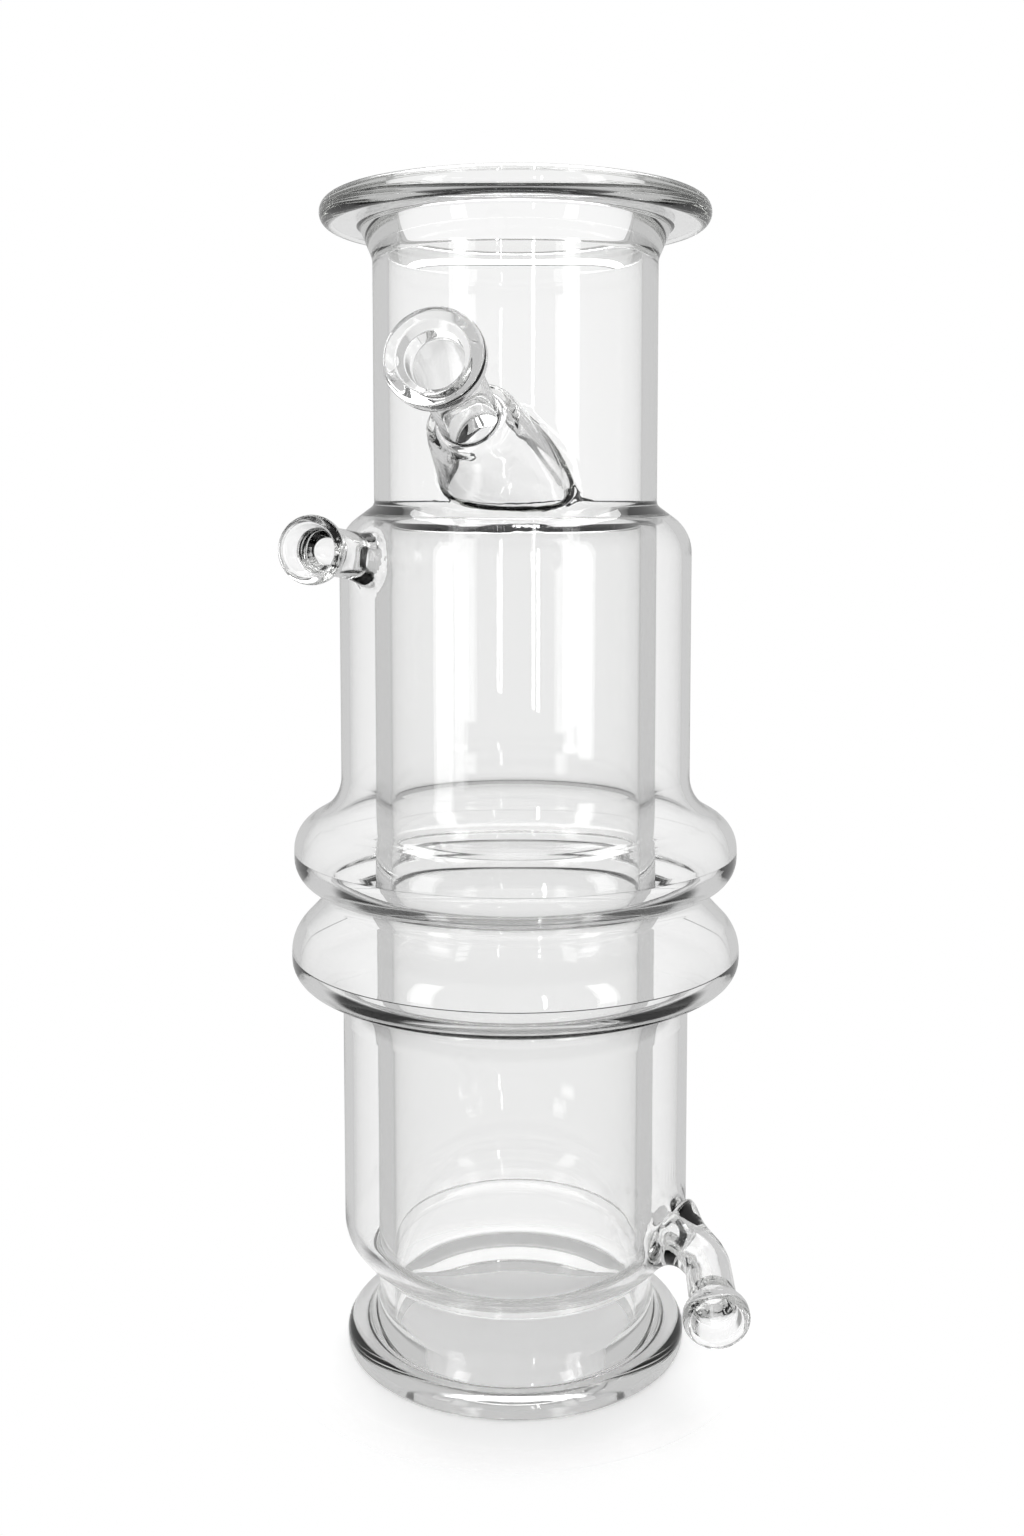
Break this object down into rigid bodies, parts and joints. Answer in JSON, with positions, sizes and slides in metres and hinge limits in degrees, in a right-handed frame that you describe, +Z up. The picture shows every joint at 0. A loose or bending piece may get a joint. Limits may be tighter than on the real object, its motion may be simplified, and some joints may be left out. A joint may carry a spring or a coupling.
{
  "type": "jacketed glass reactor vessel",
  "caption": "Clear glass process vessel with a wide flange at each end, a heating jacket with a bellows, an inclined feed nozzle above it and bent jacket ports.",
  "frame": {"origin": "centre of the lower flange's flat face, on the vessel's axis", "axes": "+Z up the vessel's axis; -Y to the front, where the feed nozzle and the jacket ports face"},
  "size_m": [0.1799, 0.2207, 0.458],
  "materials": {
    "borosilicate_glass": "clear, fire-polished"
  },
  "bodies": {
    "root": {"reactor_vessel": "borosilicate_glass"}
  },
  "joints": []
}
